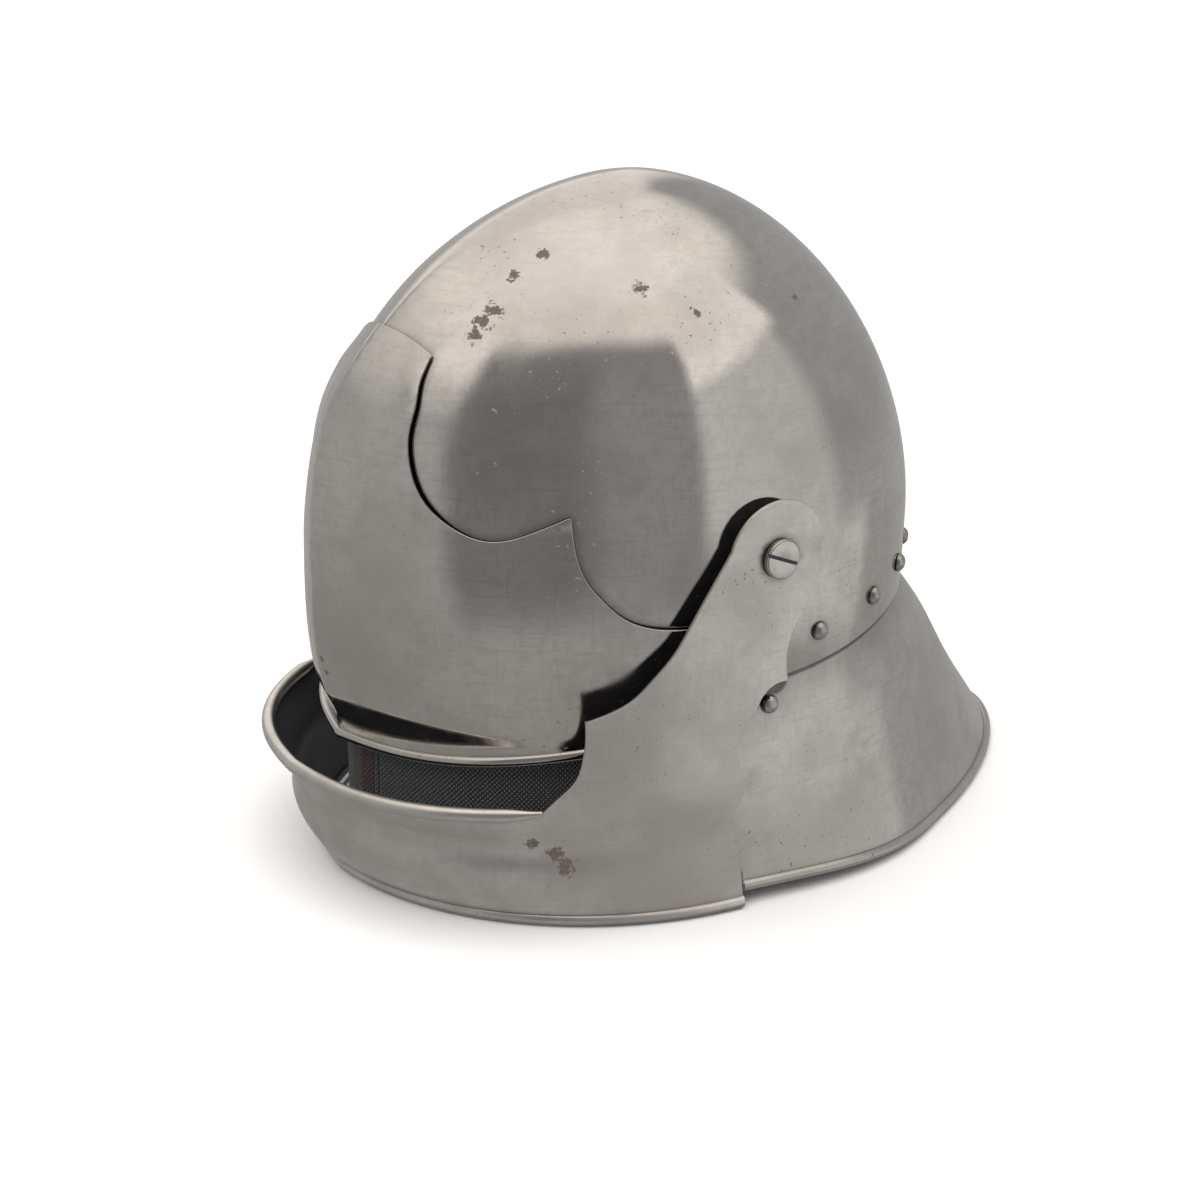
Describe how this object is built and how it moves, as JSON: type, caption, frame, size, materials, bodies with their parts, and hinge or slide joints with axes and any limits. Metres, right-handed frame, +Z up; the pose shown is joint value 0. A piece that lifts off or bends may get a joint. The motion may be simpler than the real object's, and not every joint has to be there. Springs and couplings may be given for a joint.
{
  "type": "sallet helmet",
  "caption": "Medieval steel sallet helmet with a lifting visor, a lifting bevor over the chin, a flared riveted neck guard and a cloth lining.",
  "frame": {"origin": "middle of the bounding box in plan, on the plane that the helmet stands on", "axes": "+Z up, -Y towards the front (the visor's keel), +X towards the wearer's left"},
  "size_m": [0.2192, 0.3494, 0.26],
  "materials": {
    "steel": "polished steel plate with fine scratches and small rust pits",
    "fasteners": "bright satin steel screw heads and nuts",
    "cloth": "dark grey-green woven cloth"
  },
  "bodies": {
    "root": {"skull": "steel", "neck_guard": "steel", "lining": "cloth", "seam_rivet_left_1": "steel", "seam_rivet_left_2": "steel", "seam_rivet_left_3": "steel", "seam_rivet_left_4": "steel", "seam_rivet_left_5": "steel", "seam_rivet_right_1": "steel", "seam_rivet_right_2": "steel", "seam_rivet_right_3": "steel", "seam_rivet_right_4": "steel", "seam_rivet_right_5": "steel", "seam_rivet_back": "steel", "ear_rivet_left": "steel", "ear_rivet_right": "steel", "pivot_screw_left": "fasteners", "pivot_screw_right": "fasteners", "pivot_nut_left": "fasteners", "pivot_nut_right": "fasteners"},
    "visor": {"visor": "steel"},
    "bevor": {"bevor": "steel"}
  },
  "joints": [
    {"name": "visor_pivot", "type": "hinge", "parent": "root", "child": "visor", "pos_m": [0, -0.0285, 0.137], "axis": [-1, 0, 0], "range_deg": [0, 50]},
    {"name": "bevor_pivot", "type": "hinge", "parent": "root", "child": "bevor", "pos_m": [0, -0.0285, 0.137], "axis": [-1, 0, 0], "range_deg": [0, 45]}
  ]
}
